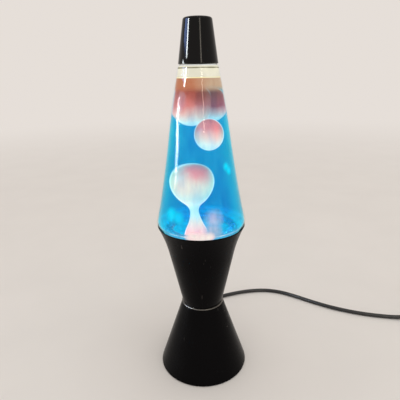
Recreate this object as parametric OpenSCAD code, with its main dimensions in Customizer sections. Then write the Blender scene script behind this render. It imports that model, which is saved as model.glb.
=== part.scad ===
// Lava lamp: a spun metal base with a flared cup, a tapered glass globe of liquid and wax,
// a small cap over the crown closure, a screw-in bulb, and a cord with a rotary switch and a plug.
// The lamp stands on z = 0 with its axis on z, and its cord leaves at the back, towards +Y.

/* [Base] */
// Outer radius of the foot at its hem
foot_r = 49; // [47:0.5:51]
// Outer radius of the foot where it meets the waist
foot_top_r = 22.8; // [22:0.1:23.5]
// Height of the waist line between foot and cup
waist_z = 78; // [77.5:0.25:78.5]
// Outer radius of the cup at the waist
cup_base_r = 21.9; // [21.5:0.1:22.5]
// Outer radius where the cup's straight cone ends
cup_cone_r = 35.2; // [35:0.1:35.4]
// Height where the cup's straight cone ends
cup_cone_z = 140; // [139:0.5:141]
// Outer radius of the cup's rim
rim_r = 45.8; // [45.5:0.1:46]
// Height of the cup's rim
rim_z = 170.3; // [170:0.1:170.6]
// Wall thickness of the spun metal
metal_t = 1.2; // [1:0.1:1.3]

/* [Globe] */
// Widest radius of the glass globe
globe_r = 46.3; // [46:0.1:46.5]
// Height of the underside of the globe
globe_z = 150; // [149.5:0.25:150.5]
// Wall thickness of the globe
glass_t = 2.4; // [2:0.1:2.6]
// Height of the liquid's surface
liquid_z = 317; // [310:1:322]
// Outer radius of the globe's neck
neck_r = 11.6; // [11:0.1:11.8]
// Height of the globe's lip
lip_z = 351; // [350.5:0.25:351]

/* [Cap] */
// Height of the top of the cap
cap_z = 368.3; // [366:0.5:370]
// Height of the cap's lower edge
cap_foot_z = 328.9; // [328.9:0.1:329.5]
// Outer radius of the cap's lower edge
cap_foot_r = 18.8; // [18.7:0.1:19]
// Outer radius of the cap at its top
cap_top_r = 13.6; // [13.4:0.1:14]
// Wall thickness of the cap
cap_t = 0.8; // [0.6:0.1:0.9]

/* [Bulb and holder] */
// Pitch of the bulb's screw thread
thread_pitch = 2.822; // [2.8:0.001:2.85]
// Radius half way up the bulb's thread
thread_r = 7.925; // [7.9:0.005:7.95]
// Half the depth of the thread
thread_depth = 0.325; // [0.3:0.005:0.35]
// Radial gap between the bulb's thread and the holder's thread
thread_gap = 0.3; // [0.25:0.05:0.35]
// Radius of the bulb's round end
bulb_r = 17.5; // [16:0.5:18]
// Height of the centre of the bulb's round end
bulb_z = 113.5; // [113:0.5:114]

/* [Wax] */
// Widest radius of the rising blob's head
head_r = 23.2; // [21:0.2:23.4]
// Radius of the upper mass of wax
upper_r = 17; // [15:0.5:17]
// Radius of the mass of wax behind it
rear_r = 13.5; // [12:0.5:13.5]
// Radius of the floating bead
bead_r = 15; // [13:0.5:15]

/* [Cord] */
// Diameter of the mains cord
cord_d = 5; // [4.5:0.1:5]
// Height of the cord's exit above the table
exit_z = 10.5; // [10:0.25:11]
// Radius of the middle of the coil's turns
coil_r = 27.5; // [27.5:0.5:28]

/* [Hidden] */
$fn = 72;

// Finishes as seen on the lamp
black_gloss = [0.06, 0.06, 0.065];
black_rubber = [0.09, 0.09, 0.09];
bright_steel = [0.75, 0.76, 0.78];
brass_tone = [0.80, 0.62, 0.30];
clear_glass = [0.85, 0.95, 1.0, 0.25];
blue_liquid = [0.04, 0.62, 0.88, 0.45];
wax_pink = [0.95, 0.45, 0.50];

// Gaps and small sizes
seat_gap = 0.45;       // between the globe's heel and the cup's wall
sealed_gap = 0.15;     // between the liquid and what it touches
flange_hole_r = 11.1;  // hole through the waist flanges for the lamp holder
holder_r = 10.8;       // outer radius of the lamp holder
hem_z = 0.8;           // the foot's hem stands this far above the table
hem_t = 1;             // extra thickness of the folded hem
hem_h = 4;             // height of the folded hem
bead_t = 1.2;          // thickness of the waist bead
plate_z = 2.2;         // underside of the bottom plate
plate_t = 1.5;
plate_r = 45.3;
foot_slope = (foot_r - foot_top_r) / (waist_z - hem_z);
cup_z = waist_z + bead_t;
globe_floor_z = globe_z + 3.4;

// Screw and foot places on the bottom plate
screw_ring_r = 36;
pad_ring_r = 35;

// Thread grid
thread_columns = 48;
thread_rows = 30;

// The cord's route, in the order in which the cord runs
relief_tip_y = 74;
run_route = [[0, 74.5, 10.5], [0, 86, 8.8], [3, 99, 5], [12, 112, 3], [28, 123, 2.6],
    [48, 131, 2.6], [72, 137, 2.6], [96, 138, 2.6], [118, 132, 2.6], [138, 120, 2.6],
    [160, 104, 2.6], [184, 89, 2.6], [210, 77, 2.6], [236, 69, 2.6], [260, 64, 3],
    [278, 62, 4.8], [289.5, 62, 6.9]];
switch_x = 290;
switch_len = 54;
switch_y = 62;
switch_half_h = 7;
link_route = [[344.5, 62, 6.9], [356, 62, 5.2], [370, 62, 3.4], [384, 62, 3.1], [396, 62, 3.1]];
tail_route = [[396, 127, 13.1], [388, 127, 12.4], [380, 127, 9.6], [372.8, 127, 7.7]];
coil_c = [396, 94.5];
coil_half_w = 7.5;
coil_z0 = 0.6;
coil_z1 = 16;
plug_y = 127;
plug_tip_x = 372;
plug_relief_len = 20;
plug_len = 24;
plug_z = 7.5;
blade_len = 17;
blade_gap = 12.7;

// Helpers: a curve from a to b drawn towards c, without its first point
function curve(a, c, b, n) = [for (i = [1:n]) let (t = i / n)
    (1 - t) * (1 - t) * a + 2 * t * (1 - t) * c + t * t * b];
function reversed(list) = [for (i = [len(list) - 1:-1:0]) list[i]];
function inset(list, d) = [for (p = list) [p[0] - d, p[1]]];
function above(list, z) = [for (p = list) if (p[1] > z) p];
function below(list, z) = [for (p = list) if (p[1] < z) p];

// A smooth point between p1 and p2 of four points in a row, at t from 0 to 1
function between(p0, p1, p2, p3, t) = 0.5 * (2 * p1 + (p2 - p0) * t
    + (2 * p0 - 5 * p1 + 4 * p2 - p3) * t * t + (3 * p1 - p0 - 3 * p2 + p3) * t * t * t);
function pick(route, i) = i < 0 ? 2 * route[0] - route[1]
    : i >= len(route) ? 2 * route[len(route) - 1] - route[len(route) - 2] : route[i];
function smooth(route, steps) = concat([for (i = [0:len(route) - 2]) for (k = [0:steps - 1])
    between(pick(route, i - 1), route[i], route[i + 1], pick(route, i + 2), k / steps)],
    [route[len(route) - 1]]);
function unit(v) = v / norm(v);
function heading(path, i) = unit(path[min(i + 1, len(path) - 1)] - path[max(i - 1, 0)]);

// A round tube along a path, as one closed solid
module tube(path, r, sides) {
    points = [for (i = [0:len(path) - 1])
        let (t = heading(path, i), s = unit(cross(t, [0, 0.001, 1])), u = cross(s, t))
        for (k = [0:sides - 1]) path[i] + r * (cos(360 * k / sides) * s + sin(360 * k / sides) * u)];
    last = (len(path) - 1) * sides;
    wall = [for (i = [0:len(path) - 2]) for (k = [0:sides - 1])
        let (a = i * sides + k, b = i * sides + (k + 1) % sides)
        [a, b, b + sides, a + sides]];
    polyhedron(points, concat([[for (k = [sides - 1:-1:0]) k]], wall,
        [[for (k = [0:sides - 1]) last + k]]), convexity = 6);
}

// A sleeve with a screw thread on one side and a plain wall on the other
module threaded_sleeve(r_mid, r_plain, z0, z1) {
    n = thread_columns;
    dz = (z1 - z0) / thread_rows;
    ridge = [for (i = [0:thread_rows]) for (j = [0:n - 1])
        let (z = z0 + i * dz, a = 360 * j / n, r = r_mid + thread_depth * cos(360 * z / thread_pitch - a))
        [r * cos(a), r * sin(a), z]];
    plain = [for (z = [z0, z1]) for (j = [0:n - 1]) let (a = 360 * j / n)
        [r_plain * cos(a), r_plain * sin(a), z]];
    p = len(ridge);
    top = thread_rows * n;
    outward = r_mid > r_plain;
    faces = [for (j = [0:n - 1]) let (k = (j + 1) % n) each concat(
        [for (i = [0:thread_rows - 1]) each [[i * n + j, (i + 1) * n + j, (i + 1) * n + k],
            [i * n + j, (i + 1) * n + k, i * n + k]]],
        [[p + j, p + k, p + n + k], [p + j, p + n + k, p + n + j],
        [j, k, p + k], [j, p + k, p + j],
        [top + j, p + n + j, p + n + k], [top + j, p + n + k, top + k]])];
    polyhedron(concat(ridge, plain), outward ? faces : [for (f = faces) reversed(f)], convexity = 6);
}

// A bar along +X with four rounded long edges
module rounded_bar(len, w, h, r) {
    translate([0, -w / 2 + r, -h / 2]) cube([len, w - 2 * r, h]);
    translate([0, -w / 2, -h / 2 + r]) cube([len, w, h - 2 * r]);
    for (y = [-w / 2 + r, w / 2 - r], z = [-h / 2 + r, h / 2 - r])
        translate([0, y, z]) rotate([0, 90, 0]) cylinder(r = r, h = len);
}

// Outer outline of the cup from its waist to its rim
cup_outline = concat([[cup_base_r, cup_z], [cup_cone_r, cup_cone_z]],
    curve([cup_cone_r, cup_cone_z], [cup_cone_r + 3.55, cup_cone_z + 15.8], [rim_r, rim_z], 10));
heel_inset = metal_t + seat_gap;

// Outer outline of the globe from the middle of its underside to the foot of its neck
heel_outline = inset(above(cup_outline, globe_z + 3.6), heel_inset);
globe_outline = concat([[0, globe_z + 2], [16, globe_z + 1.6], [26, globe_z], [30, globe_z]],
    curve([30, globe_z], [34.6, globe_z], heel_outline[0], 5), heel_outline,
    curve([rim_r - heel_inset, rim_z], [globe_r, rim_z + 2.7], [globe_r, rim_z + 5.3], 5),
    curve([globe_r, rim_z + 5.3], [globe_r - 0.7, rim_z + 11.2], [globe_r - 2.9, rim_z + 20.7], 6),
    curve([globe_r - 2.9, rim_z + 20.7], [36.7, 225], [31, 265], 7),
    curve([31, 265], [25.7, 300], [19.6, 326.2], 8),
    curve([19.6, 326.2], [19.3, 328.1], [16.6, 328.9], 4),
    curve([16.6, 328.9], [12.2, 330.6], [neck_r, 337], 5));

// The globe's hollow, from its floor to the foot of its neck
hollow_wall = inset(above(globe_outline, globe_floor_z + 5), glass_t);
hollow_outline = concat([[0, globe_floor_z], [27, globe_floor_z]],
    curve([27, globe_floor_z], [33.6, globe_floor_z], hollow_wall[0], 5), hollow_wall);

module cap_shell() {
    side = concat([[cap_foot_r, cap_foot_z], [cap_top_r, cap_z - 2.4]],
        curve([cap_top_r, cap_z - 2.4], [cap_top_r - 0.3, cap_z], [cap_top_r - 2.6, cap_z], 5));
    inner = concat([[cap_foot_r - cap_t, cap_foot_z], [cap_top_r - cap_t, cap_z - 2.6]],
        curve([cap_top_r - cap_t, cap_z - 2.6], [cap_top_r - cap_t - 0.2, cap_z - cap_t],
            [cap_top_r - cap_t - 2, cap_z - cap_t], 5));
    color(black_gloss) rotate_extrude()
        polygon(concat(side, [[0, cap_z], [0, cap_z - cap_t]], reversed(inner)));
}

module crown_cap() {
    flutes = 21;
    color(bright_steel) difference() {
        rotate_extrude() polygon([[0, lip_z + 0.4], [0, lip_z + 0.8], [12, lip_z + 0.8],
            [13.5, lip_z + 0.1], [13.9, lip_z - 2.5], [14.4, lip_z - 5.4], [14, lip_z - 5.4],
            [13.5, lip_z - 2.5], [13.1, lip_z], [11.8, lip_z + 0.4]]);
        for (i = [0:flutes - 1]) rotate([0, 0, 360 * i / flutes])
            translate([14.9, 0, lip_z - 5.6]) cylinder(r = 0.8, h = 4.2);
    }
}

module crown_liner() {
    color([0.85, 0.85, 0.8]) translate([0, 0, lip_z]) cylinder(r = 11.6, h = 0.4);
}

module glass_globe() {
    lip = concat([[neck_r, lip_z - 6.5]], curve([neck_r, lip_z - 6.5], [12.9, lip_z - 5.8], [12.9, lip_z - 3.5], 4),
        curve([12.9, lip_z - 3.5], [12.9, lip_z], [11.3, lip_z], 4), [[9.4, lip_z]]);
    color(clear_glass) rotate_extrude()
        polygon(concat(globe_outline, lip, [[neck_r - glass_t, 340]], reversed(hollow_outline)));
}

// The wax shapes take a margin, so that the liquid can be cut clear of them
module blob_shape(m) {
    translate([-7, 0, 0]) rotate_extrude() polygon(concat([[0, globe_floor_z + 0.2 - m]],
        [[19.5 + m, globe_floor_z + 0.2 - m], [19.5 + m, globe_floor_z + 1.6 + m]],
        curve([19.5 + m, globe_floor_z + 1.6 + m], [14.5 + m, globe_floor_z + 3 + m], [11.3 + m, 164], 5),
        curve([11.3 + m, 164], [5 + m, 174], [4.8 + m, 184], 5),
        curve([4.8 + m, 184], [4.9 + m, 190], [11 + m, 193.4], 4),
        curve([11 + m, 193.4], [18.9 + m, 198.6], [head_r - 1.4 + m, 208.5], 5),
        curve([head_r - 1.4 + m, 208.5], [head_r + 1.8 + m, 219], [head_r - 2.2 + m, 227], 5),
        curve([head_r - 2.2 + m, 227], [15 + m, 235.6 + m], [0, 235.6 + m], 6)));
}

module upper_ball(m) {
    translate([-5.5, 4, 291]) sphere(r = upper_r + m);
}

module rear_ball(m) {
    translate([8, 6.5, 290]) sphere(r = rear_r + m);
}

module bead_shape(m) {
    translate([9, -9, 264.6]) sphere(r = bead_r + m);
}

module coil_ring_shape(m) {
    rotate_extrude() translate([34, 165.4]) circle(r = 4.2 + m);
}

module liquid() {
    color(blue_liquid) difference() {
        rotate_extrude() polygon(concat([[0, globe_floor_z + sealed_gap]],
            [[27 - sealed_gap, globe_floor_z + sealed_gap]],
            inset(below([for (p = hollow_outline) if (p[0] > 27) p], liquid_z), sealed_gap),
            [[21.6 - glass_t - sealed_gap, liquid_z], [0, liquid_z]]));
        blob_shape(sealed_gap);
        upper_ball(sealed_gap);
        rear_ball(sealed_gap);
        bead_shape(sealed_gap);
        coil_ring_shape(sealed_gap);
    }
}

module wax_rising_blob() {
    color(wax_pink) blob_shape(0);
}

module wax_upper_mass() {
    color(wax_pink) upper_ball(0);
}

// This mass is pressed hollow where it meets the one in front
module wax_rear_mass() {
    color(wax_pink) difference() {
        rear_ball(0);
        upper_ball(0.4);
    }
}

module wax_bead() {
    color(wax_pink) bead_shape(0);
}

// Outer shape of the ring of coiled steel wire that lies in the globe's heel
module heating_coil() {
    color(bright_steel) coil_ring_shape(0);
}

module cup_shell() {
    inner = concat([[cup_base_r - metal_t, cup_z + metal_t]],
        inset(above(cup_outline, cup_z + metal_t), metal_t));
    color(black_gloss) rotate_extrude() polygon(concat([[flange_hole_r, cup_z]], cup_outline,
        reversed(inner), [[flange_hole_r, cup_z + metal_t]]));
}

// The thin bright ring that is clamped between the foot and the cup
module waist_bead() {
    color(bright_steel) rotate_extrude() polygon(concat([[flange_hole_r, waist_z]],
        [[foot_top_r - 0.2, waist_z]],
        curve([foot_top_r - 0.2, waist_z], [foot_top_r + 0.9, waist_z + bead_t / 2],
            [foot_top_r - 0.2, cup_z], 6), [[flange_hole_r, cup_z]]));
}

module foot_shell() {
    wall_r = foot_r - foot_slope * hem_h;
    color(black_gloss) difference() {
        rotate_extrude() polygon([[foot_r - metal_t - hem_t, hem_z], [foot_r, hem_z],
            [foot_top_r, waist_z], [flange_hole_r, waist_z], [flange_hole_r, waist_z - metal_t],
            [foot_top_r - metal_t, waist_z - metal_t], [wall_r - metal_t, hem_z + hem_h],
            [wall_r - metal_t - hem_t, hem_z + hem_h]]);
        translate([0, 38, exit_z]) rotate([-90, 0, 0]) cylinder(r = 5.6, h = 12);
    }
}

module clamp_washer() {
    color(bright_steel) difference() {
        translate([0, 0, waist_z - metal_t - 1.5]) cylinder(r = 19.5, h = 1.5);
        translate([0, 0, waist_z - metal_t - 2]) cylinder(r = flange_hole_r, h = 3);
    }
}

module holder_ring_nut() {
    nut_h = 4;
    nut_z = waist_z - metal_t - 1.5 - nut_h;
    color(bright_steel) difference() {
        translate([0, 0, nut_z]) cylinder(r = 15.5, h = nut_h, $fn = 8);
        translate([0, 0, nut_z - 1]) cylinder(r = holder_r + 0.1, h = nut_h + 2);
    }
}

// Insulating body of the lamp holder, with a collar that clamps the cup
module lamp_holder_body() {
    collar_z = cup_z + metal_t;
    color([0.12, 0.11, 0.1]) difference() {
        union() {
            translate([0, 0, 54]) cylinder(r = holder_r, h = 35);
            translate([0, 0, collar_z]) cylinder(r = 13.2, h = 2.6);
            translate([0, 0, 52]) cylinder(r = 9.6, h = 2);
        }
        translate([0, 0, 70]) cylinder(r = 9.2, h = 20);
        translate([0, 0, 54]) cylinder(r = 7.4, h = 12);
        for (x = [-4.6, 4.6]) translate([x, 0, 51]) cylinder(r = 1.5, h = 4);
        translate([0, 0, 65]) cylinder(r = 2.2, h = 6);
    }
}

module holder_screw_shell() {
    color(brass_tone) threaded_sleeve(thread_r + thread_gap, 9.1, 76, 87);
}

module holder_centre_contact() {
    color(brass_tone) {
        translate([0, 0, 70]) cylinder(r = 3.4, h = 1.4);
        translate([0, 0, 63]) cylinder(r = 2.1, h = 7);
        translate([0, 0, 62]) cylinder(r = 3, h = 1);
    }
}

module terminal_screws() {
    color(brass_tone) for (x = [-4.6, 4.6]) {
        translate([x, 0, 57]) cylinder(r = 2.2, h = 1.4);
        translate([x, 0, 58.4]) cylinder(r = 1.4, h = 7.6);
    }
}

// The two insulated leads from the cord to the lamp holder
module inner_leads() {
    for (s = [-1, 1]) color(s > 0 ? [0.9, 0.9, 0.88] : [0.1, 0.1, 0.1])
        tube(smooth([[4.6 * s, 0, 56.8], [4.6 * s, 0.2, 47], [5 * s, 2.5, 38], [5 * s, 9, 29],
            [3.6 * s, 19, 21], [2.4 * s, 29, 14], [1.9 * s, 35, 11], [1.9 * s, 39.9, 10.5]], 2), 1.1, 8);
}

module bulb_glass() {
    neck = 7.1;
    wall = 0.8;
    a = asin(13.5 / bulb_r);
    ball = [for (i = [0:10]) let (b = a + (180 - a) * i / 10) [bulb_r * sin(b), bulb_z - bulb_r * cos(b)]];
    inner_r = bulb_r - wall;
    hollow = [for (i = [0:10]) let (b = a + (180 - a) * i / 10) [inner_r * sin(b), bulb_z - inner_r * cos(b)]];
    color(clear_glass) rotate_extrude() polygon(concat([[neck - wall, 80], [neck, 80], [neck, 87]],
        curve([neck, 87], [8, 96], ball[0], 6), [for (i = [1:10]) ball[i]],
        reversed(concat([[neck - wall, 87.4]], curve([neck - wall, 87.4], [7.1, 96.6], hollow[0], 6),
            [for (i = [1:10]) hollow[i]]))));
}

module bulb_screw_base() {
    color(bright_steel) threaded_sleeve(thread_r, 7.2, 75.5, 86.5);
}

module bulb_insulator() {
    color(black_gloss) rotate_extrude() polygon([[0, 72.6], [3.1, 72.6], [6.9, 75.4], [7.1, 75.4],
        [7.1, 77.4], [0, 77.4]]);
}

module bulb_tip_contact() {
    color(bright_steel) rotate_extrude() polygon([[0, 71.5], [1.9, 71.5], [2.7, 72], [2.8, 72.6], [0, 72.6]]);
}

// Glass stem that carries the filament's wires
module bulb_stem() {
    color(clear_glass) rotate_extrude() polygon([[0, 77.4], [5.6, 77.4], [5.2, 82], [2.6, 90], [2.2, 101],
        [3.2, 102.6], [3.2, 104], [0, 104]]);
}

module bulb_filament() {
    color(bright_steel) {
        for (s = [-1, 1]) translate([1.6 * s, 0, 104.2]) rotate([0, 22 * s, 0]) cylinder(r = 0.3, h = 11);
        translate([-5.7, 0, 114]) rotate([0, 90, 0]) cylinder(r = 0.6, h = 11.4);
    }
}

// Three tabs inside the foot that take the bottom plate's screws
module plate_lugs() {
    color(bright_steel) for (a = [30, 150, 270]) rotate([0, 0, a]) difference() {
        union() {
            translate([screw_ring_r - 5, -4.5, plate_z + plate_t]) cube([14, 9, 1.5]);
            translate([foot_r - metal_t - 1.95 - foot_slope * 5.4, -4.5, 4.6])
                rotate([0, -atan(foot_slope), 0]) cube([1.2, 9, 11]);
        }
        translate([screw_ring_r, 0, 0]) cylinder(r = 1.5, h = 12);
    }
}

module bottom_plate() {
    slots = 24;
    color(black_rubber) difference() {
        translate([0, 0, plate_z]) cylinder(r = plate_r, h = plate_t);
        for (i = [0:slots - 1]) rotate([0, 0, 360 * i / slots])
            translate([12, -0.9, plate_z - 1]) cube([14, 1.8, plate_t + 2]);
        for (a = [30, 150, 270]) rotate([0, 0, a])
            translate([screw_ring_r, 0, plate_z - 1]) cylinder(r = 1.7, h = plate_t + 2);
    }
}

module plate_screws() {
    color(bright_steel) for (a = [30, 150, 270]) rotate([0, 0, a]) translate([screw_ring_r, 0, 0])
        difference() {
            union() {
                translate([0, 0, plate_z - 1.2]) cylinder(r = 2.7, h = 1.2);
                translate([0, 0, plate_z]) cylinder(r = 1.45, h = 7);
            }
            for (t = [0, 90]) rotate([0, 0, t]) translate([-1.5, -0.25, plate_z - 1.7]) cube([3, 0.5, 1.1]);
        }
}

module rubber_feet() {
    color(black_rubber) for (a = [90, 210, 330]) rotate([0, 0, a]) translate([pad_ring_r, 0, 0])
        rotate_extrude() polygon([[0, 0], [5.2, 0], [6, 0.8], [6, plate_z], [0, plate_z]]);
}

// Tapered, ringed sleeve through the back of the foot
module strain_relief() {
    ring_count = 6;
    color(black_rubber) translate([0, 0, exit_z]) rotate([-90, 0, 0]) difference() {
        rotate_extrude() polygon([[0, 40], [6.2, 40], [6.2, 41.6], [5.3, 41.6], [5.3, 50],
            [3.4, relief_tip_y], [0, relief_tip_y]]);
        for (i = [0:ring_count - 1]) translate([0, 0, 52.5 + 3.4 * i]) difference() {
            cylinder(r = 8, h = 1.3);
            translate([0, 0, -1]) cylinder(r = 4.5 - 0.27 * i, h = 4);
        }
    }
}

module cord_run() {
    color(black_rubber) tube(smooth(run_route, 2), cord_d / 2, 8);
}

module cord_link() {
    color(black_rubber) tube(smooth(link_route, 1), cord_d / 2, 8);
}

// Outer shape of the round coil of spare cord
module cord_coil() {
    color(black_rubber) translate([coil_c[0], coil_c[1], 0]) rotate_extrude()
        polygon([[coil_r - coil_half_w, coil_z0 + 2], [coil_r - coil_half_w + 2, coil_z0],
            [coil_r + coil_half_w - 2, coil_z0], [coil_r + coil_half_w, coil_z0 + 2],
            [coil_r + coil_half_w, coil_z1 - 2], [coil_r + coil_half_w - 2, coil_z1],
            [coil_r - coil_half_w + 2, coil_z1], [coil_r - coil_half_w, coil_z1 - 2]]);
}

module cord_tail() {
    color(black_rubber) tube(smooth(tail_route, 1), cord_d / 2, 8);
}

// A flat band around the coil's turns
module cord_tie() {
    color(black_rubber) translate([coil_c[0], coil_c[1], 0]) difference() {
        translate([coil_r - coil_half_w - 1.3, -4, 0]) cube([2 * coil_half_w + 2.3, 8, coil_z1 + 0.7]);
        translate([coil_r - coil_half_w - 0.7, -5, 0.5]) cube([2 * coil_half_w + 1.1, 10, coil_z1 - 0.4]);
    }
}

// The switch's shell, whole, from which each half is cut
module switch_block() {
    difference() {
        translate([switch_x, switch_y, switch_half_h]) {
            translate([10, 0, 0]) rounded_bar(switch_len - 20, 24, 2 * switch_half_h, 3);
            rotate([0, 90, 0]) cylinder(r1 = 4.6, r2 = 6.9, h = 11);
            translate([switch_len - 11, 0, 0]) rotate([0, 90, 0]) cylinder(r1 = 6.9, r2 = 4.6, h = 11);
        }
        translate([switch_x + 27, switch_y + 5, 3.8]) cylinder(r = 11.6, h = 6.4);
        translate([switch_x + 27, switch_y + 5, 1.9]) cylinder(r = 1.6, h = 10.2);
        translate([switch_x + 16, switch_y - 7, -1]) cylinder(r = 1.4, h = 16);
        translate([switch_x + 16, switch_y - 7, 12.6]) cylinder(r = 2.7, h = 3);
        translate([switch_x + 16, switch_y - 7, -1]) cylinder(r = 2.7, h = 2.4);
    }
}

module switch_lower_half() {
    color(black_rubber) difference() {
        switch_block();
        translate([switch_x - 1, switch_y - 20, switch_half_h]) cube([switch_len + 2, 40, 20]);
    }
}

module switch_upper_half() {
    color(black_rubber) difference() {
        switch_block();
        translate([switch_x - 1, switch_y - 20, switch_half_h - 20]) cube([switch_len + 2, 40, 20]);
    }
}

// Thumb wheel with a grooved rim
module switch_wheel() {
    grooves = 20;
    color([0.2, 0.2, 0.2]) translate([switch_x + 27, switch_y + 5, 4.2]) difference() {
        cylinder(r = 11, h = 5.6);
        translate([0, 0, -1]) cylinder(r = 1.55, h = 8);
        for (i = [0:grooves - 1]) rotate([0, 0, 360 * i / grooves])
            translate([11.4, 0, -1]) cylinder(r = 0.8, h = 8);
    }
}

module switch_pin() {
    color(brass_tone) translate([switch_x + 27, switch_y + 5, 2]) cylinder(r = 1.5, h = 10);
}

module switch_screw() {
    color(bright_steel) translate([switch_x + 16, switch_y - 7, 0]) difference() {
        union() {
            translate([0, 0, 12.7]) cylinder(r = 2.5, h = 1.1);
            translate([0, 0, 0.4]) cylinder(r = 1.3, h = 12.3);
        }
        translate([-2, -0.3, 13.3]) cube([4, 0.6, 1]);
    }
}

module plug_body() {
    color(black_rubber) translate([plug_tip_x - plug_relief_len, plug_y, plug_z]) {
        rotate([0, 90, 0]) cylinder(r1 = 6, r2 = 3.3, h = plug_relief_len);
        translate([-plug_len, 0, 0]) rounded_bar(plug_len, 24, 2 * plug_z, 4);
    }
}

module plug_blades() {
    color(brass_tone) for (s = [-1, 1]) difference() {
        translate([plug_tip_x - plug_relief_len - plug_len - blade_len,
            plug_y + s * blade_gap / 2 - 0.75, plug_z - 3.175]) cube([blade_len, 1.5, 6.35]);
        translate([plug_tip_x - plug_relief_len - plug_len - blade_len + 4, plug_y, plug_z])
            rotate([90, 0, 0]) cylinder(r = 1.6, h = 40, center = true);
    }
}

cap_shell();
crown_cap();
crown_liner();
glass_globe();
liquid();
wax_rising_blob();
wax_upper_mass();
wax_rear_mass();
wax_bead();
heating_coil();
cup_shell();
waist_bead();
foot_shell();
clamp_washer();
holder_ring_nut();
lamp_holder_body();
holder_screw_shell();
holder_centre_contact();
terminal_screws();
inner_leads();
bulb_glass();
bulb_screw_base();
bulb_insulator();
bulb_tip_contact();
bulb_stem();
bulb_filament();
plate_lugs();
bottom_plate();
plate_screws();
rubber_feet();
strain_relief();
cord_run();
cord_link();
cord_coil();
cord_tail();
cord_tie();
switch_lower_half();
switch_upper_half();
switch_wheel();
switch_pin();
switch_screw();
plug_body();
plug_blades();
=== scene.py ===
"""Lava lamp: painted metal base, tapered globe of blue liquid and wax, cap, bulb and mains cord.

Pieces are drawn in millimetres and made in metres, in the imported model's frame: the lamp stands
on z = 0 with its axis on z, its front towards -Y, and its cord leaves at the back. Heights and
places inside the finishes are in metres.
"""

import logging
import math
from dataclasses import dataclass, field
from enum import Enum
from typing import Callable, Iterable, Sequence

import bmesh
import bpy
from mathutils import Matrix, Vector


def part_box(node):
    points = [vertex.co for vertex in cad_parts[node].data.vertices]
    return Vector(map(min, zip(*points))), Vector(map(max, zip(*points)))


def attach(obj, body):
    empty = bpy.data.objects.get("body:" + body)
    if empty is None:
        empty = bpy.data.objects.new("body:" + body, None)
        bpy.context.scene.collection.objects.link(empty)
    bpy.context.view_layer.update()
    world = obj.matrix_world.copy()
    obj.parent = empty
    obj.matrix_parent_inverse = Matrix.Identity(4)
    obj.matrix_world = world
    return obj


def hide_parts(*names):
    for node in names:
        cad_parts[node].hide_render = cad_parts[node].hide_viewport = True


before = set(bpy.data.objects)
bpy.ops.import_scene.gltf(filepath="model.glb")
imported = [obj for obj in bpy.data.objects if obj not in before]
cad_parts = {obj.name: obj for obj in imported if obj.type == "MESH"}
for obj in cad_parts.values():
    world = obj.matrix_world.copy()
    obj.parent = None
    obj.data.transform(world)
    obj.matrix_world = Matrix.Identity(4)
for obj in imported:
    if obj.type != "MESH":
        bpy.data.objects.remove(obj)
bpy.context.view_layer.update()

MM = 0.001
SHARP_ANGLE = 32.0
CORNER_SHARE = 0.45
LOG = logging.getLogger("lava_lamp")

Colour = tuple[float, float, float]
Outline = list[tuple[float, float]]
Point = tuple[float, float, float]

SKY: Colour = (0.86, 0.80, 0.75)
SKY_STRENGTH = 0.92


# ---------------------------------------------------------------- outlines and meshes


def bend(start: Sequence[float], pull: Sequence[float], end: Sequence[float], steps: int) -> Outline:
    """Give the points of a quadratic curve, without its first one.

    Args:
        start: where the curve starts.
        pull: the point that the curve is drawn towards.
        end: where the curve ends.
        steps: number of points.

    Returns:
        The points after the start, the last of them being the end.
    """
    made = []
    for i in range(1, steps + 1):
        t = i / steps
        made.append(tuple((1 - t) ** 2 * a + 2 * t * (1 - t) * c + t * t * b
                          for a, c, b in zip(start, pull, end)))
    return made


def eased(t: float) -> float:
    """Give the smooth step of t from 0 to 1."""
    t = min(max(t, 0.0), 1.0)
    return t * t * (3 - 2 * t)


def rounded(corners: Sequence[Sequence[float]], steps: int = 5) -> Outline:
    """Round the corners of an outline.

    Args:
        corners: points (r, z) or (r, z, radius) in order; those with a radius are rounded.
        steps: number of points on each rounded corner.

    Returns:
        The outline with its rounded corners.
    """
    made: Outline = []
    for i, corner in enumerate(corners):
        here = Vector(corner[:2])
        if len(corner) < 3 or i in (0, len(corners) - 1):
            made.append((here.x, here.y))
            continue
        before = Vector(corners[i - 1][:2]) - here
        after = Vector(corners[i + 1][:2]) - here
        reach = min(corner[2], CORNER_SHARE * min(before.length, after.length))
        a = here + before.normalized() * reach
        b = here + after.normalized() * reach
        made.append((a.x, a.y))
        made += bend(a, here, b, steps)
    return made


def in_scene(name: str, data: bpy.types.ID) -> bpy.types.Object:
    """Put a mesh, curve, light or camera in the scene as an object of that name."""
    made = bpy.data.objects.new(name, data)
    bpy.context.scene.collection.objects.link(made)
    return made


def smooth(mesh: bpy.types.Mesh) -> None:
    """Shade a mesh smooth, with its sharp edges kept."""
    mesh.shade_smooth()
    mesh.set_sharp_from_angle(angle=math.radians(SHARP_ANGLE))


def from_bmesh(name: str, bm: bmesh.types.BMesh) -> bpy.types.Object:
    """Give a smooth object of a bmesh with its faces turned outwards, and free the bmesh."""
    bmesh.ops.recalc_face_normals(bm, faces=bm.faces)
    mesh = bpy.data.meshes.new(name)
    bm.to_mesh(mesh)
    bm.free()
    smooth(mesh)
    return in_scene(name, mesh)


def bake(piece: bpy.types.Object) -> None:
    """Replace the mesh of a piece by one with its modifiers applied."""
    graph = bpy.context.evaluated_depsgraph_get()
    graph.update()
    mesh = bpy.data.meshes.new_from_object(piece.evaluated_get(graph), depsgraph=graph)
    piece.modifiers.clear()
    piece.data = mesh


def laid_back(piece: bpy.types.Object, z: float) -> bpy.types.Object:
    """Lay a turned piece along +y, at a height in millimetres."""
    piece.data.transform(Matrix.Translation((0, 0, z * MM)) @ Matrix.Rotation(-math.pi / 2, 4, "X"))
    return piece


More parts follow.
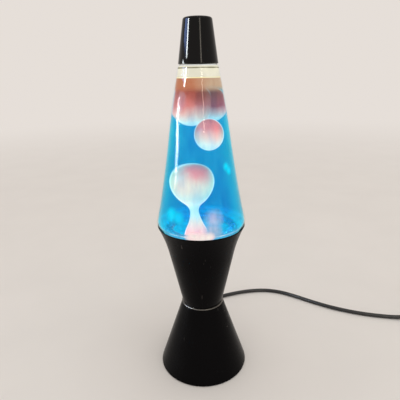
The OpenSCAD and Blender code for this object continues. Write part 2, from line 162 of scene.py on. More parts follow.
def turned(name: str, outline: Outline, sides: int = 128, closed: bool = False,
           shape: Callable[[Vector], Vector] | None = None,
           axis: tuple[float, float] = (0.0, 0.0)) -> bpy.types.Object:
    """Turn an outline round a vertical axis into a closed skin.

    Args:
        name: name of the new object.
        outline: points (r, z) in millimetres.
        sides: number of steps round the axis.
        closed: whether the last point joins the first.
        shape: moves each point, in millimetres, after it is turned.
        axis: x and y of the axis, in millimetres.

    Returns:
        The new object, in metres.
    """
    bm = bmesh.new()
    rows = []
    for r, z in outline:
        if r < 1e-6:
            spots = [Vector((axis[0], axis[1], z))]
        else:
            spots = [Vector((axis[0] + r * math.cos(math.tau * k / sides),
                             axis[1] + r * math.sin(math.tau * k / sides), z))
                     for k in range(sides)]
        rows.append([bm.verts.new((shape(p) if shape else p) * MM) for p in spots])
    pairs = list(zip(rows, rows[1:])) + ([(rows[-1], rows[0])] if closed else [])
    for low, high in pairs:
        for k in range(sides):
            n = (k + 1) % sides
            ring = [low[k % len(low)], low[n % len(low)], high[n % len(high)], high[k % len(high)]]
            ring = list(dict.fromkeys(ring))
            if len(ring) > 2:
                bm.faces.new(ring)
    return from_bmesh(name, bm)


def fine_step(points: Outline, longest: float) -> Outline:
    """Split the long steps of an outline, so that none is over a length in millimetres."""
    made = [points[0]]
    for a, b in zip(points, points[1:]):
        parts = max(1, math.ceil(math.dist(a, b) / longest))
        made += [(a[0] + (b[0] - a[0]) * i / parts, a[1] + (b[1] - a[1]) * i / parts)
                 for i in range(1, parts + 1)]
    return made


def evenly_smoothed(route: Sequence[Point], steps: int) -> list[Vector]:
    """Draw a smooth line through the points of a route, with a number of steps between each two."""
    spots = [Vector(p) for p in route]
    ends = [2 * spots[0] - spots[1], *spots, 2 * spots[-1] - spots[-2]]
    made = []
    for p0, p1, p2, p3 in zip(ends, ends[1:], ends[2:], ends[3:]):
        for k in range(steps):
            t = k / steps
            made.append(0.5 * (2 * p1 + (p2 - p0) * t + (2 * p0 - 5 * p1 + 4 * p2 - p3) * t * t
                               + (3 * p1 - p0 - 3 * p2 + p3) * t ** 3))
    return [*made, spots[-1]]


# ---------------------------------------------------------------- materials


def add_node(tree: bpy.types.NodeTree, kind: str, inputs: dict, settings: dict
             ) -> bpy.types.Node:
    """Add one node to a tree, with its settings, and values or outputs on its inputs."""
    node = tree.nodes.new(kind)
    for key, value in settings.items():
        setattr(node, key, value)
    for key, value in inputs.items():
        socket = node.inputs[key]
        if isinstance(value, bpy.types.NodeSocket):
            tree.links.new(value, socket)
        elif isinstance(value, tuple) and len(value) == 3 and socket.type == "RGBA":
            socket.default_value = (*value, 1.0)
        else:
            socket.default_value = value
    return node


class Nodes:
    """Adds nodes to one material and joins them."""

    def __init__(self, name: str) -> None:
        """Start an empty material of that name."""
        self.material = bpy.data.materials.new(name)
        self.material.use_nodes = True
        self.tree = self.material.node_tree
        self.tree.nodes.clear()
        self.output = self.add("OutputMaterial")
        self.place = self.add("TexCoord").outputs["Object"]

    def add(self, kind: str, inputs: dict | None = None, **settings: object) -> bpy.types.Node:
        """Add one shader node.

        Args:
            kind: the node's type, without its ShaderNode.
            inputs: for each input by name or number, a value or the output that feeds it.
            **settings: the node's own settings.

        Returns:
            The new node.
        """
        return add_node(self.tree, "ShaderNode" + kind, inputs or {}, settings)

    def math(self, operation: str, *values: object, clamp: bool = False) -> bpy.types.NodeSocket:
        """Add a Math node on values or outputs, and give its output."""
        node = self.add("Math", dict(enumerate(values)), operation=operation, use_clamp=clamp)
        return node.outputs[0]

    def noise(self, scale: float, detail: float = 2.0, stretch: Point = (1, 1, 1)
              ) -> bpy.types.NodeSocket:
        """Add noise on Object coordinates, and give its number.

        Args:
            scale: how fine it is, in features per metre.
            detail: number of finer layers.
            stretch: scale of each axis.

        Returns:
            The output from 0 to 1.
        """
        spot = self.add("Mapping", {"Vector": self.place, "Scale": stretch}).outputs[0]
        return self.add("TexNoise", {"Vector": spot, "Scale": scale, "Detail": detail}
                        ).outputs["Fac"]

    def ranged(self, value: object, low: float, high: float, to_low: float = 0.0,
               to_high: float = 1.0, soft: bool = False) -> bpy.types.NodeSocket:
        """Map a number from one range to another, held at its ends."""
        node = self.add("MapRange", {"Value": value, "From Min": low, "From Max": high,
                                     "To Min": to_low, "To Max": to_high},
                        interpolation_type="SMOOTHSTEP" if soft else "LINEAR")
        return node.outputs["Result"]

    def ramp(self, value: object, stops: Sequence[tuple[float, Colour]]) -> bpy.types.NodeSocket:
        """Add a colour ramp with those stops, and give its colour."""
        node = self.add("ValToRGB", {"Fac": value})
        bar = node.color_ramp
        while len(bar.elements) < len(stops):
            bar.elements.new(1.0)
        for element, (place, colour) in zip(bar.elements, stops):
            element.position = place
            element.color = (*colour, 1.0)
        return node.outputs["Color"]

    def mixed(self, share: object, first: object, second: object) -> bpy.types.NodeSocket:
        """Mix two colours by a share, and give the result."""
        return self.add("Mix", {0: share, 6: first, 7: second}, data_type="RGBA").outputs[2]

    def facing(self) -> bpy.types.NodeSocket:
        """Give how far the surface is seen edge on, from 0 to 1."""
        return self.add("LayerWeight", {"Blend": 0.5}).outputs["Facing"]

    def away_from(self, spot: Point) -> bpy.types.NodeSocket:
        """Give the distance in metres from a point."""
        return self.add("VectorMath", {0: self.place, 1: spot}, operation="DISTANCE"
                        ).outputs["Value"]

    def swing(self, value: object, reach: float) -> bpy.types.NodeSocket:
        """Give a number that swings about zero while another goes from 0 to 1."""
        return self.math("MULTIPLY", self.math("SUBTRACT", value, 0.5), reach)

    def lit(self, share: object, tint: object, colour: object) -> bpy.types.Node:
        """Mix a see-through tint with light of a colour, by a share."""
        clear = self.add("BsdfTransparent", {"Color": tint})
        light = self.add("Emission", {"Color": colour, "Strength": 1.0})
        return self.add("MixShader", {0: share, 1: clear.outputs[0], 2: light.outputs[0]})

    def height(self, axis: str = "Z") -> bpy.types.NodeSocket:
        """Give one axis of the Object coordinates."""
        return self.add("SeparateXYZ", {"Vector": self.place}).outputs[axis]

    def bump(self, value: object, distance: float, strength: float = 1.0) -> bpy.types.NodeSocket:
        """Make a bump of a depth in metres from a number, and give its normal."""
        return self.add("Bump", {"Height": value, "Distance": distance,
                                 "Strength": strength}).outputs["Normal"]

    def finish(self, shader: bpy.types.Node, volume: bpy.types.Node | None = None
               ) -> bpy.types.Material:
        """Join a shader, and a volume where there is one, to the output.

        Args:
            shader: the surface's last node.
            volume: the volume's node.

        Returns:
            The finished material.
        """
        self.tree.links.new(shader.outputs[0], self.output.inputs["Surface"])
        if volume is not None:
            self.tree.links.new(volume.outputs[0], self.output.inputs["Volume"])
        return self.material


@dataclass(frozen=True)
class BlackPaint:
    """Black gloss paint over spun metal, with faint orange peel, dust specks and fine scratches."""

    name: str
    colour: Colour = (0.0022, 0.0020, 0.0024)
    roughness: float = 0.25
    index: float = 1.13
    speck_share: float = 0.03
    mark_colour: Colour = (0.11, 0.10, 0.09)

    def build(self) -> bpy.types.Material:
        """Make the material."""
        n = Nodes(self.name)
        cell = n.add("TexVoronoi", {"Vector": n.place, "Scale": 150.0, "Randomness": 1.0})
        chosen = n.math("LESS_THAN", n.add("SeparateColor", {"Color": cell.outputs["Color"]}
                                           ).outputs[0], self.speck_share)
        near = n.ranged(cell.outputs["Distance"], 0.10, 0.05)
        speck = n.math("MULTIPLY", chosen, near)
        hair = n.noise(260.0, 1.0, (1.0, 1.0, 0.06))
        scratch = n.math("MULTIPLY", n.ranged(hair, 0.735, 0.76),
                         n.ranged(n.noise(34.0, 1.0), 0.52, 0.62))
        marks = n.math("MAXIMUM", speck, n.math("MULTIPLY", scratch, 0.5))
        colour = n.mixed(marks, self.colour, self.mark_colour)
        worn = n.ranged(n.noise(42.0, 4.0), 0.35, 0.75, self.roughness - 0.03,
                        self.roughness + 0.07)
        rough = n.math("ADD", worn, n.math("MULTIPLY", marks, 0.25), clamp=True)
        peel = n.bump(n.noise(520.0, 1.0), 0.00002, 0.6)
        return n.finish(n.add("BsdfPrincipled", {
            "Base Color": colour, "Roughness": rough, "Normal": peel, "IOR": self.index}))


@dataclass(frozen=True)
class Metal:
    """Bare or plated metal with a fine grain and slight tarnish."""

    name: str
    colour: Colour
    dull: Colour
    roughness: float = 0.28

    def build(self) -> bpy.types.Material:
        """Make the material."""
        n = Nodes(self.name)
        patch = n.ranged(n.noise(90.0, 4.0), 0.4, 0.7)
        grain = n.noise(900.0)
        colour = n.mixed(patch, self.colour, self.dull)
        rough = n.math("ADD", n.math("MULTIPLY", patch, 0.14),
                       n.ranged(grain, 0.2, 0.8, self.roughness - 0.06, self.roughness + 0.06))
        return n.finish(n.add("BsdfPrincipled", {
            "Base Color": colour, "Metallic": 1.0, "Roughness": rough,
            "Normal": n.bump(grain, 0.00002, 0.5)}))


@dataclass(frozen=True)
class Moulding:
    """Moulded plastic or rubber with a fine grain and slight handling marks."""

    name: str
    colour: Colour
    worn: Colour
    roughness: float = 0.5
    grain_scale: float = 1400.0
    grain_depth: float = 0.00003
    shine: float = 0.4

    def build(self) -> bpy.types.Material:
        """Make the material."""
        n = Nodes(self.name)
        patch = n.ranged(n.noise(60.0, 5.0), 0.42, 0.72)
        grain = n.noise(self.grain_scale, 2.0)
        colour = n.mixed(n.math("MULTIPLY", patch, 0.6), self.colour, self.worn)
        rough = n.math("ADD", n.ranged(grain, 0.3, 0.7, self.roughness - 0.05,
                                       self.roughness + 0.05),
                       n.math("MULTIPLY", patch, -0.08), clamp=True)
        return n.finish(n.add("BsdfPrincipled", {
            "Base Color": colour, "Roughness": rough, "Specular IOR Level": self.shine,
            "Normal": n.bump(grain, self.grain_depth)}))


@dataclass(frozen=True)
class ClearGlass:
    """Clear glass that shines more where it is seen edge on."""

    name: str
    tint: Colour = (0.97, 0.985, 0.99)
    least: float = 0.009
    power: float = 6.5
    roughness: float = 0.03

    def build(self) -> bpy.types.Material:
        """Make the material."""
        n = Nodes(self.name)
        rise = n.math("POWER", n.facing(), self.power)
        share = n.math("ADD", n.math("MULTIPLY", rise, 1.0 - self.least), self.least, clamp=True)
        ripple = n.bump(n.noise(55.0, 1.0, (1.0, 1.0, 0.35)), 0.00022, 0.5)
        cloud = n.ranged(n.noise(160.0, 3.0), 0.3, 0.8, self.roughness, self.roughness + 0.05)
        clear = n.add("BsdfTransparent", {"Color": self.tint})
        shine = n.add("BsdfGlossy", {"Color": (1.0, 1.0, 1.0), "Roughness": cloud,
                                     "Normal": ripple})
        return n.finish(n.add("MixShader", {0: share, 1: clear.outputs[0],
                                            2: shine.outputs[0]}))


@dataclass(frozen=True)
class BlueLiquid:
    """Clear blue liquid that takes out more red and green the deeper it is, with a faint glow."""

    name: str
    passed: Colour = (0.0, 0.85, 0.988)
    density: float = 57.0
    face_tint: Colour = (0.50, 0.95, 1.0)
    edge_tint: Colour = (0.02, 1.0, 1.0)
    veil_tint: Colour = (0.75, 0.84, 0.95)
    glow: Colour = (0.0, 0.30, 1.20)
    second_glow: Colour = (0.0, 0.60, 1.3)
    glow_share: float = 0.07
    fade_from: float = 0.270
    glow_end: float = 0.303
    edge_end: float = 0.283

    def build(self) -> bpy.types.Material:
        """Make the material."""
        n = Nodes(self.name)
        drift = n.ranged(n.noise(38.0, 3.0), 0.35, 0.7)
        fade = n.ranged(n.height(), self.fade_from, self.glow_end, 1.0, 0.15, soft=True)
        share = n.math("MULTIPLY", fade, n.ranged(drift, 0.0, 1.0, self.glow_share * 0.7,
                                                  self.glow_share * 1.4))
        edge = n.math("MULTIPLY", n.ranged(n.height(), self.fade_from, self.edge_end, 1.0, 0.0),
                      n.ranged(n.facing(), 0.2, 0.8))
        veil = n.ranged(n.noise(75.0, 3.0, (1.0, 1.0, 0.3)), 0.42, 0.62)
        shaded = tuple(c * d for c, d in zip(self.face_tint, self.veil_tint))
        tint = n.mixed(edge, n.mixed(veil, self.face_tint, shaded), self.edge_tint)
        depth = n.add("VolumeAbsorption", {"Color": self.passed, "Density": self.density})
        return n.finish(n.lit(share, tint, n.mixed(drift, self.glow, self.second_glow)), depth)


@dataclass(frozen=True)
class GlowingWax:
    """Molten wax that shines with painted light from the bulb: its ramp by height is coloured above,
    cream lower down and bright at its foot, with a painted rim highlight at its edges.
    """

    name: str
    low: float
    high: float
    stops: tuple[tuple[float, Colour], ...]
    glow_gain: Colour
    foot_glow_gain: Colour | None = None
    # painted rim highlight: this colour is mixed in where the wax is seen edge on
    rim: Colour = (1.30, 0.98, 0.95)
    rim_highlight_share: float = 0.85
    rim_highlight_from: float = 0.58
    rim_highlight_band: float = 0.24
    blush: Point | None = None
    blush_reach: float = 0.02
    blush_colour: Colour = (0.84, 0.20, 0.195)

    def build(self) -> bpy.types.Material:
        """Make the material."""
        n = Nodes(self.name)
        streak = n.noise(190.0, 3.0, (1.0, 1.0, 0.05))
        wave = n.noise(45.0, 2.0)
        level = n.ranged(n.height(), self.low, self.high)
        moved = n.math("ADD", level, n.swing(wave, 0.06))
        # painted light: the ramp by height paints the bulb's light on the wax, mostly paler lower
        # down
        colour = n.ramp(n.math("ADD", moved, n.swing(streak, 0.18), clamp=True), self.stops)
        # painted rim highlight where the wax is seen edge on
        edge = n.ranged(n.facing(), self.rim_highlight_from, self.rim_highlight_from + self.rim_highlight_band, 0.0,
                        self.rim_highlight_share, soft=True)
        sheen = n.mixed(edge, colour, self.rim)
        if self.blush is not None:
            away = n.math("ADD", n.away_from(self.blush), n.swing(streak, 0.008))
            near = n.ranged(away, self.blush_reach, self.blush_reach * 0.3, soft=True)
            sheen = n.mixed(near, sheen, self.blush_colour)
        # painted glow: the lit colour times its gain, stronger at the foot, shines as emission
        warm = n.mixed(n.ranged(level, 0.05, 0.6), self.foot_glow_gain or self.glow_gain, self.glow_gain)
        lit = n.add("VectorMath", {0: sheen, 1: warm}, operation="MULTIPLY").outputs[0]
        dim = n.add("VectorMath", {0: colour, "Scale": 0.25}, operation="SCALE").outputs[0]
        return n.finish(n.add("BsdfPrincipled", {
            "Base Color": dim, "Roughness": n.ranged(wave, 0.3, 0.7, 0.24, 0.36),
            "Specular IOR Level": 0.12, "Emission Color": lit, "Emission Strength": 1.0,
            "Normal": n.bump(n.noise(70.0, 2.0), 0.0004, 0.3)}))


@dataclass(frozen=True)
class Film:
    """A thin film of painted light that fades between two heights, such as the painted glow in the
    air space.
    """

    name: str
    colour: Colour
    second: Colour
    bottom: float
    top: float
    solid_bottom: float
    solid_top: float
    patchy: float = 0.35
    noise_scale: float = 120.0
    stretch: Point = (1.0, 1.0, 0.4)
    across: tuple[float, float] | None = None
    across_axis: str = "X"
    spots: tuple[tuple[Point, float], ...] = ()

    def build(self) -> bpy.types.Material:
        """Make the material."""
        n = Nodes(self.name)
        patch = n.noise(self.noise_scale, 3.0, self.stretch)
        share = n.ranged(n.height(), self.bottom, self.top, self.solid_bottom, self.solid_top,
                         soft=True)
        share = n.math("MULTIPLY", share, n.ranged(patch, 0.3, 0.7, 1.0 - self.patchy, 1.0),
                       clamp=True)
        most = None
        for spot, reach in self.spots:
            away = n.math("ADD", n.away_from(spot),
                          n.ranged(patch, 0.2, 0.8, -0.15 * reach, 0.15 * reach))
            near = n.ranged(away, reach, reach * 0.15, soft=True)
            most = near if most is None else n.math("MAXIMUM", most, near)
        if most is not None:
            share = n.math("MULTIPLY", share, most)
        blend = n.ranged(patch, 0.35, 0.65)
        if self.across is not None:
            blend = n.math("ADD", n.ranged(n.height(self.across_axis), *self.across, -0.15, 0.85),
                           n.math("MULTIPLY", blend, 0.3), clamp=True)
        # painted light: the film's colour shines as emission over a clear skin
        return n.finish(n.lit(share, (1.0, 1.0, 1.0), n.mixed(blend, self.colour, self.second)))


@dataclass(frozen=True)
class HotWire:
    """The bulb's glowing filament."""

    name: str = "finish_filament"

    def build(self) -> bpy.types.Material:
        """Make the material."""
        n = Nodes(self.name)
        wave = n.noise(2600.0, 1.0)
        colour = n.mixed(wave, (1.0, 0.42, 0.10), (1.0, 0.66, 0.30))
        return n.finish(n.add("BsdfPrincipled", {
            "Base Color": (0.3, 0.28, 0.26), "Metallic": 1.0,
            "Roughness": n.ranged(wave, 0.0, 1.0, 0.25, 0.45),
            "Emission Color": colour, "Emission Strength": 6.0}))


@dataclass(frozen=True)
class PaleFloor:
    """Plain pale matt floor that fades into the sky."""

    name: str = "finish_floor"
    colour: Colour = (0.80, 0.785, 0.765)
    fade_from: float = 0.55
    fade_to: float = 2.6

    def build(self) -> bpy.types.Material:
        """Make the material."""
        n = Nodes(self.name)
        tone = n.mixed(n.ranged(n.noise(9.0, 4.0), 0.3, 0.7), self.colour,
                       tuple(c * 0.97 for c in self.colour))
        matt = n.add("BsdfPrincipled", {
            "Base Color": tone, "Roughness": 0.8, "Specular IOR Level": 0.15})
        away = n.add("VectorMath", {0: n.place}, operation="LENGTH").outputs["Value"]
        fade = n.ranged(away, self.fade_from, self.fade_to, soft=True)
        far = n.add("Emission", {"Color": SKY, "Strength": SKY_STRENGTH})
        return n.finish(n.add("MixShader", {0: fade, 1: matt.outputs[0], 2: far.outputs[0]}))


# ---------------------------------------------------------------- pieces


class Body(Enum):
    """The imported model's moving bodies that pieces ride on."""

    BASE = "base"
    GLOBE = "globe"
    CAP = "cap"
    BEAD = "bead"
    BULB = "bulb"


def dress(piece: bpy.types.Object, material: bpy.types.Material) -> None:
    """Give a piece or a CAD node one material in all its slots."""
    if not piece.material_slots:
        piece.data.materials.append(material)
    for place in piece.material_slots:
        place.material = material


def settle(piece: bpy.types.Object, body: Body, material: bpy.types.Material,
           stands_for: Iterable[str] = ()) -> bpy.types.Object:
    """Dress a piece, let it ride on its body and hide the CAD nodes that it replaces.

    Args:
        piece: the piece.
        body: the body it rides on.
        material: its finish.
        stands_for: CAD nodes that it replaces.

    Returns:
        The piece.
    """
    dress(piece, material)
    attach(piece, body.value)
    if stands_for:
        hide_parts(*stands_for)
    LOG.info("%s rides on %s", piece.name, body.value)
    return piece


@dataclass
class Base:
    """Foot, cup, waist ring and the parts inside them."""

    foot_r: float = 49.0
    foot_top_r: float = 22.8
    waist_z: float = 78.0
    cup_base_r: float = 21.9
    cone_r: float = 35.2
    cone_z: float = 140.0
    rim_r: float = 45.8
    rim_z: float = 170.3
    wall: float = 1.2
    hem_z: float = 0.8
    hem_t: float = 1.0
    hem_h: float = 4.0
    ring_t: float = 1.2
    hole_r: float = 11.1
    exit_z: float = 10.5
    exit_r: float = 5.6

    @property
    def cup_z(self) -> float:
        """Height of the cup's lower flange."""
        return self.waist_z + self.ring_t

    def cup_outline(self) -> Outline:
        """Give the cup's outer outline from waist to rim."""
        start = (self.cone_r, self.cone_z)
        return [(self.cup_base_r, self.cup_z), start,
                *bend(start, (self.cone_r + 3.55, self.cone_z + 15.8), (self.rim_r, self.rim_z), 14)]

    def cup(self) -> bpy.types.Object:
        """Make the cup with its flange and its smooth rim."""
        outer = self.cup_outline()
        inner = [(r - self.wall, z) for r, z in outer if z > self.cup_z + self.wall]
        loop = [(self.hole_r, self.cup_z), (*outer[0], 0.5), *outer[1:-1], (*outer[-1], 0.5),
                (*inner[-1], 0.5), *reversed(inner[:-1]),
                (self.cup_base_r - self.wall, self.cup_z + self.wall, 0.6),
                (self.hole_r, self.cup_z + self.wall)]
        return turned("cup_painted", fine_step(rounded(loop), 9.0), 160, closed=True)

    def foot(self) -> bpy.types.Object:
        """Make the foot with its folded hem and its hole for the cord's sleeve."""
        slope = (self.foot_r - self.foot_top_r) / (self.waist_z - self.hem_z)
        wall_r = self.foot_r - slope * self.hem_h
        loop = [(self.foot_r - self.wall - self.hem_t, self.hem_z, 0.5),
                (self.foot_r, self.hem_z, 0.7), (self.foot_top_r, self.waist_z, 0.5),
                (self.hole_r, self.waist_z), (self.hole_r, self.waist_z - self.wall),
                (self.foot_top_r - self.wall, self.waist_z - self.wall, 0.6),
                (wall_r - self.wall, self.hem_z + self.hem_h, 0.3),
                (wall_r - self.wall - self.hem_t, self.hem_z + self.hem_h, 0.3)]
        loop = [loop[-1], *loop, loop[0]]
        foot = turned("foot_painted", fine_step(rounded(loop)[1:-1], 6.0), 160, closed=True)
        hole = [(0, 38), (self.exit_r, 38), (self.exit_r, 54), (0, 54)]
        bore = laid_back(turned("foot_bore", hole, 40), self.exit_z)
        cut = foot.modifiers.new("bore", "BOOLEAN")
        cut.operation, cut.object, cut.solver = "DIFFERENCE", bore, "EXACT"
        bake(foot)
        bpy.data.objects.remove(bore)
        smooth(foot.data)
        return foot

    def waist_ring(self) -> bpy.types.Object:
        """Make the thin bright ring between foot and cup."""
        low, high = self.waist_z, self.cup_z
        edge = (self.foot_top_r - 0.2, low)
        loop = [(self.hole_r, low), edge,
                *bend(edge, (self.foot_top_r + 0.9, (low + high) / 2), (edge[0], high), 10),
                (self.hole_r, high)]
        return turned("waist_ring", loop, 160, closed=True)

    def build(self) -> None:
        """Make and dress the base's own pieces."""
        paint = BlackPaint("finish_black_paint").build()
        trim = Metal("finish_bright_trim", (0.17, 0.16, 0.145), (0.10, 0.095, 0.085), 0.3).build()
        settle(self.cup(), Body.BASE, paint, ["cup_shell"])
        settle(self.foot(), Body.BASE, paint, ["foot_shell"])
        settle(self.waist_ring(), Body.BASE, trim, ["waist_bead"])


@dataclass
class Cap:
    """Thin spun cap over the globe's closure."""

    top_z: float = 368.3
    foot_z: float = 328.9
    foot_r: float = 18.8
    top_r: float = 13.6
    wall: float = 0.8

    def build(self) -> None:
        """Make and dress the cap."""
        shoulder = (self.top_r, self.top_z - 2.4)
        inner = (self.top_r - self.wall, self.top_z - 2.6)
        outer_side = [(self.foot_r, self.foot_z, 0.3), shoulder,
                      *bend(shoulder, (self.top_r - 0.3, self.top_z),
                            (self.top_r - 2.6, self.top_z), 10), (0.0, self.top_z)]
        inner_side = [(self.foot_r - self.wall, self.foot_z, 0.3), inner,
                      *bend(inner, (inner[0] - 0.2, self.top_z - self.wall),
                            (inner[0] - 2.0, self.top_z - self.wall), 6),
                      (0.0, self.top_z - self.wall)]
        outline = rounded([*reversed(inner_side), *outer_side], 3)
        paint = BlackPaint("finish_cap_paint", (0.0030, 0.0028, 0.0030), 0.08, 1.25, 0.012).build()
        cap = turned("cap_painted", fine_step(outline, 5.0), 128)
        settle(cap, Body.CAP, paint, ["cap_shell"])


@dataclass
class Globe:
    """Glass globe, its liquid, its wax and the wire coil in its heel."""

    base: Base
    globe_r: float = 46.3
    globe_z: float = 150.0
    glass_t: float = 2.4
    sight_wall: float = 1.0
    liquid_z: float = 317.0
    neck_r: float = 11.6
    lip_z: float = 351.0
    floor_z: float = 153.4
    heel_inset: float = 1.65
    outer: Outline = field(init=False)

    def __post_init__(self) -> None:
        """Draw the globe's outer outline."""
        inset = [(r - self.heel_inset, z) for r, z in fine_step(self.base.cup_outline(), 3.0)
                 if z > self.globe_z + 3.6]
        rim_r, rim_z = self.base.rim_r, self.base.rim_z
        wide = (self.globe_r, rim_z + 5.3)
        side = (self.globe_r - 2.9, rim_z + 20.7)
        neck = [(16.6, 328.9), *bend((16.6, 328.9), (12.2, 330.6), (self.neck_r, 337.0), 8)]
        self.outer = [
            (0.0, self.globe_z + 2), (16.0, self.globe_z + 1.6), (26.0, self.globe_z),
            (30.0, self.globe_z), *bend((30.0, self.globe_z), (34.6, self.globe_z), inset[0], 8),
            *inset[1:], *bend((rim_r - self.heel_inset, rim_z), (self.globe_r, rim_z + 2.7), wide, 8),
            *bend(wide, (self.globe_r - 0.7, rim_z + 11.2), side, 8),
            *bend(side, (36.7, 225.0), (31.0, 265.0), 14),
            *bend((31.0, 265.0), (25.7, 300.0), (19.6, 326.2), 14),
            *bend((19.6, 326.2), (19.3, 328.1), neck[0], 6), *neck[1:]]

    def wall_radius(self, z: float, inset: float = 0.0) -> float:
        """Give the globe's outer radius at a height, less an inset, in millimetres."""
        side = [p for p in self.outer if p[0] > 18 or p[1] > 300]
        for (r0, z0), (r1, z1) in zip(side, side[1:]):
            if z0 <= z <= z1:
                return r0 + (r1 - r0) * (z - z0) / max(z1 - z0, 1e-9) - inset
        return self.neck_r - inset

    def inner(self, inset: float, low: float, high: float) -> Outline:
        """Give the part of the globe's side between two heights, moved inwards by an inset."""
        spots = [z for _, z in self.outer if low < z < high]
        heights = [low, *sorted(spots), high]
        return [(self.wall_radius(z, inset), z) for z in heights]

    def glass(self) -> bpy.types.Object:
        """Make the globe with its hollow, neck and lip."""
        neck_top = (self.neck_r, self.lip_z - 6.5)
        lip = [neck_top, *bend(neck_top, (12.9, self.lip_z - 5.8), (12.9, self.lip_z - 3.5), 6),
               *bend((12.9, self.lip_z - 3.5), (12.9, self.lip_z), (11.3, self.lip_z), 6),
               (9.4, self.lip_z)]
        side = self.inner(self.sight_wall, self.floor_z + 6, 328.0)
        floor = [(0.0, self.floor_z), (27.0, self.floor_z),
                 *bend((27.0, self.floor_z), (34.4, self.floor_z), side[0], 8), *side[1:],
                 (self.neck_r - self.glass_t + 1.2, 338.0)]
        return turned("globe_glass", [*self.outer, *lip, *reversed(floor)], 160)

    def liquid(self) -> bpy.types.Object:
        """Make the body of liquid that fills the globe up to its surface."""
        inset = self.sight_wall + 0.3
        side = self.inner(inset, self.floor_z + 6.2, self.liquid_z)
        low = self.floor_z + 0.3
        outline = [(0.0, low), (26.8, low), *bend((26.8, low), (34.2, low), side[0], 8), *side[1:],
                   (side[-1][0] * 0.6, self.liquid_z - 0.3), (0.0, self.liquid_z - 0.4)]
        return turned("globe_liquid", outline, 160)

    def held_in(self, margin: float) -> Callable[[Vector], Vector]:
        """Give a function that presses points against the inside of the glass."""
        def press(p: Vector) -> Vector:
            """Move one point inwards where it would be outside the hollow."""
            most = self.wall_radius(p.z, margin)
            flat = Vector((p.x, p.y))
            if flat.length <= most:
                return p
            flat *= most / flat.length
            return Vector((flat.x, flat.y, p.z))
        return press

    def ball(self, name: str, centre: Point, radii: Point, shape: Callable[[Vector], Vector],
             rows: int = 64) -> bpy.types.Object:
        """Make a ball of wax with different radii along each axis.

        Args:
            name: name of the piece.
            centre: its centre in millimetres.
            radii: its radius along x, y and z.
            shape: moves each point afterwards.
            rows: steps from pole to pole.

        Returns:
            The new piece.
        """
        def fitted(p: Vector) -> Vector:
            """Scale one point of a unit ball, place it and shape it."""
            return shape(Vector([c + r * v for c, r, v in zip(centre, radii, p)]))
        outline = [(math.sin(math.pi * i / rows), -math.cos(math.pi * i / rows))
                   for i in range(rows + 1)]
        outline[0], outline[-1] = (0.0, -1.0), (0.0, 1.0)
        return turned(name, outline, 2 * rows, shape=fitted)

    def rising_wax(self) -> bpy.types.Object:
        """Make the wax on the floor with its foot, thin neck and round head."""
        low = self.floor_z + 0.5
        foot = [(0.0, low), (12.8, low), (13.2, low + 0.8),
                *bend((13.2, low + 0.8), (12.6, low + 5.2), (10.8, 164.0), 8),
                *bend((10.8, 164.0), (5.4, 174.0), (4.4, 183.5), 10),
                *bend((4.5, 183.5), (4.4, 189.0), (11.0, 194.2), 10),
                *bend((11.0, 194.2), (19.2, 201.0), (21.8, 209.5), 10),
                *bend((21.8, 209.5), (24.6, 218.0), (20.4, 225.4), 10),
                *bend((20.4, 225.4), (16.0, 233.8), (0.0, 233.8), 16)]

        def lean(p: Vector) -> Vector:
            """Lean the neck and the head a little to one side."""
            return Vector((p.x - 3.4 * eased((p.z - 160) / 50) + 1.7, p.y, p.z))
        return turned("wax_riser", foot, 96, shape=lean, axis=(-7.0, 0.0))

    def build(self) -> None:
        """Make and dress the globe's pieces."""
        settle(self.glass(), Body.GLOBE, ClearGlass("finish_globe_glass").build(),
               ["glass_globe"])
        settle(self.liquid(), Body.GLOBE, BlueLiquid("finish_liquid").build(),
               ["liquid"])
        self.build_wax()
        self.build_glow()
        wire = Metal("finish_spring_wire", (0.80, 0.82, 0.84), (0.55, 0.57, 0.60), 0.2).build()
        ring = WireRing(ring_r=34.0, ring_z=165.4, coil_r=3.7, wire_r=0.42, turns=74)
        settle(ring.build(wire), Body.GLOBE, wire, ["heating_coil"])

    def build_wax(self) -> None:
        """Make and dress the masses of wax."""
        press = self.held_in(self.sight_wall + 0.5)
        upper_c, upper_r = Vector((-7.4, -3.0, 293.0)), Vector((20.6, 19.5, 20.6))
        apart = 0.3

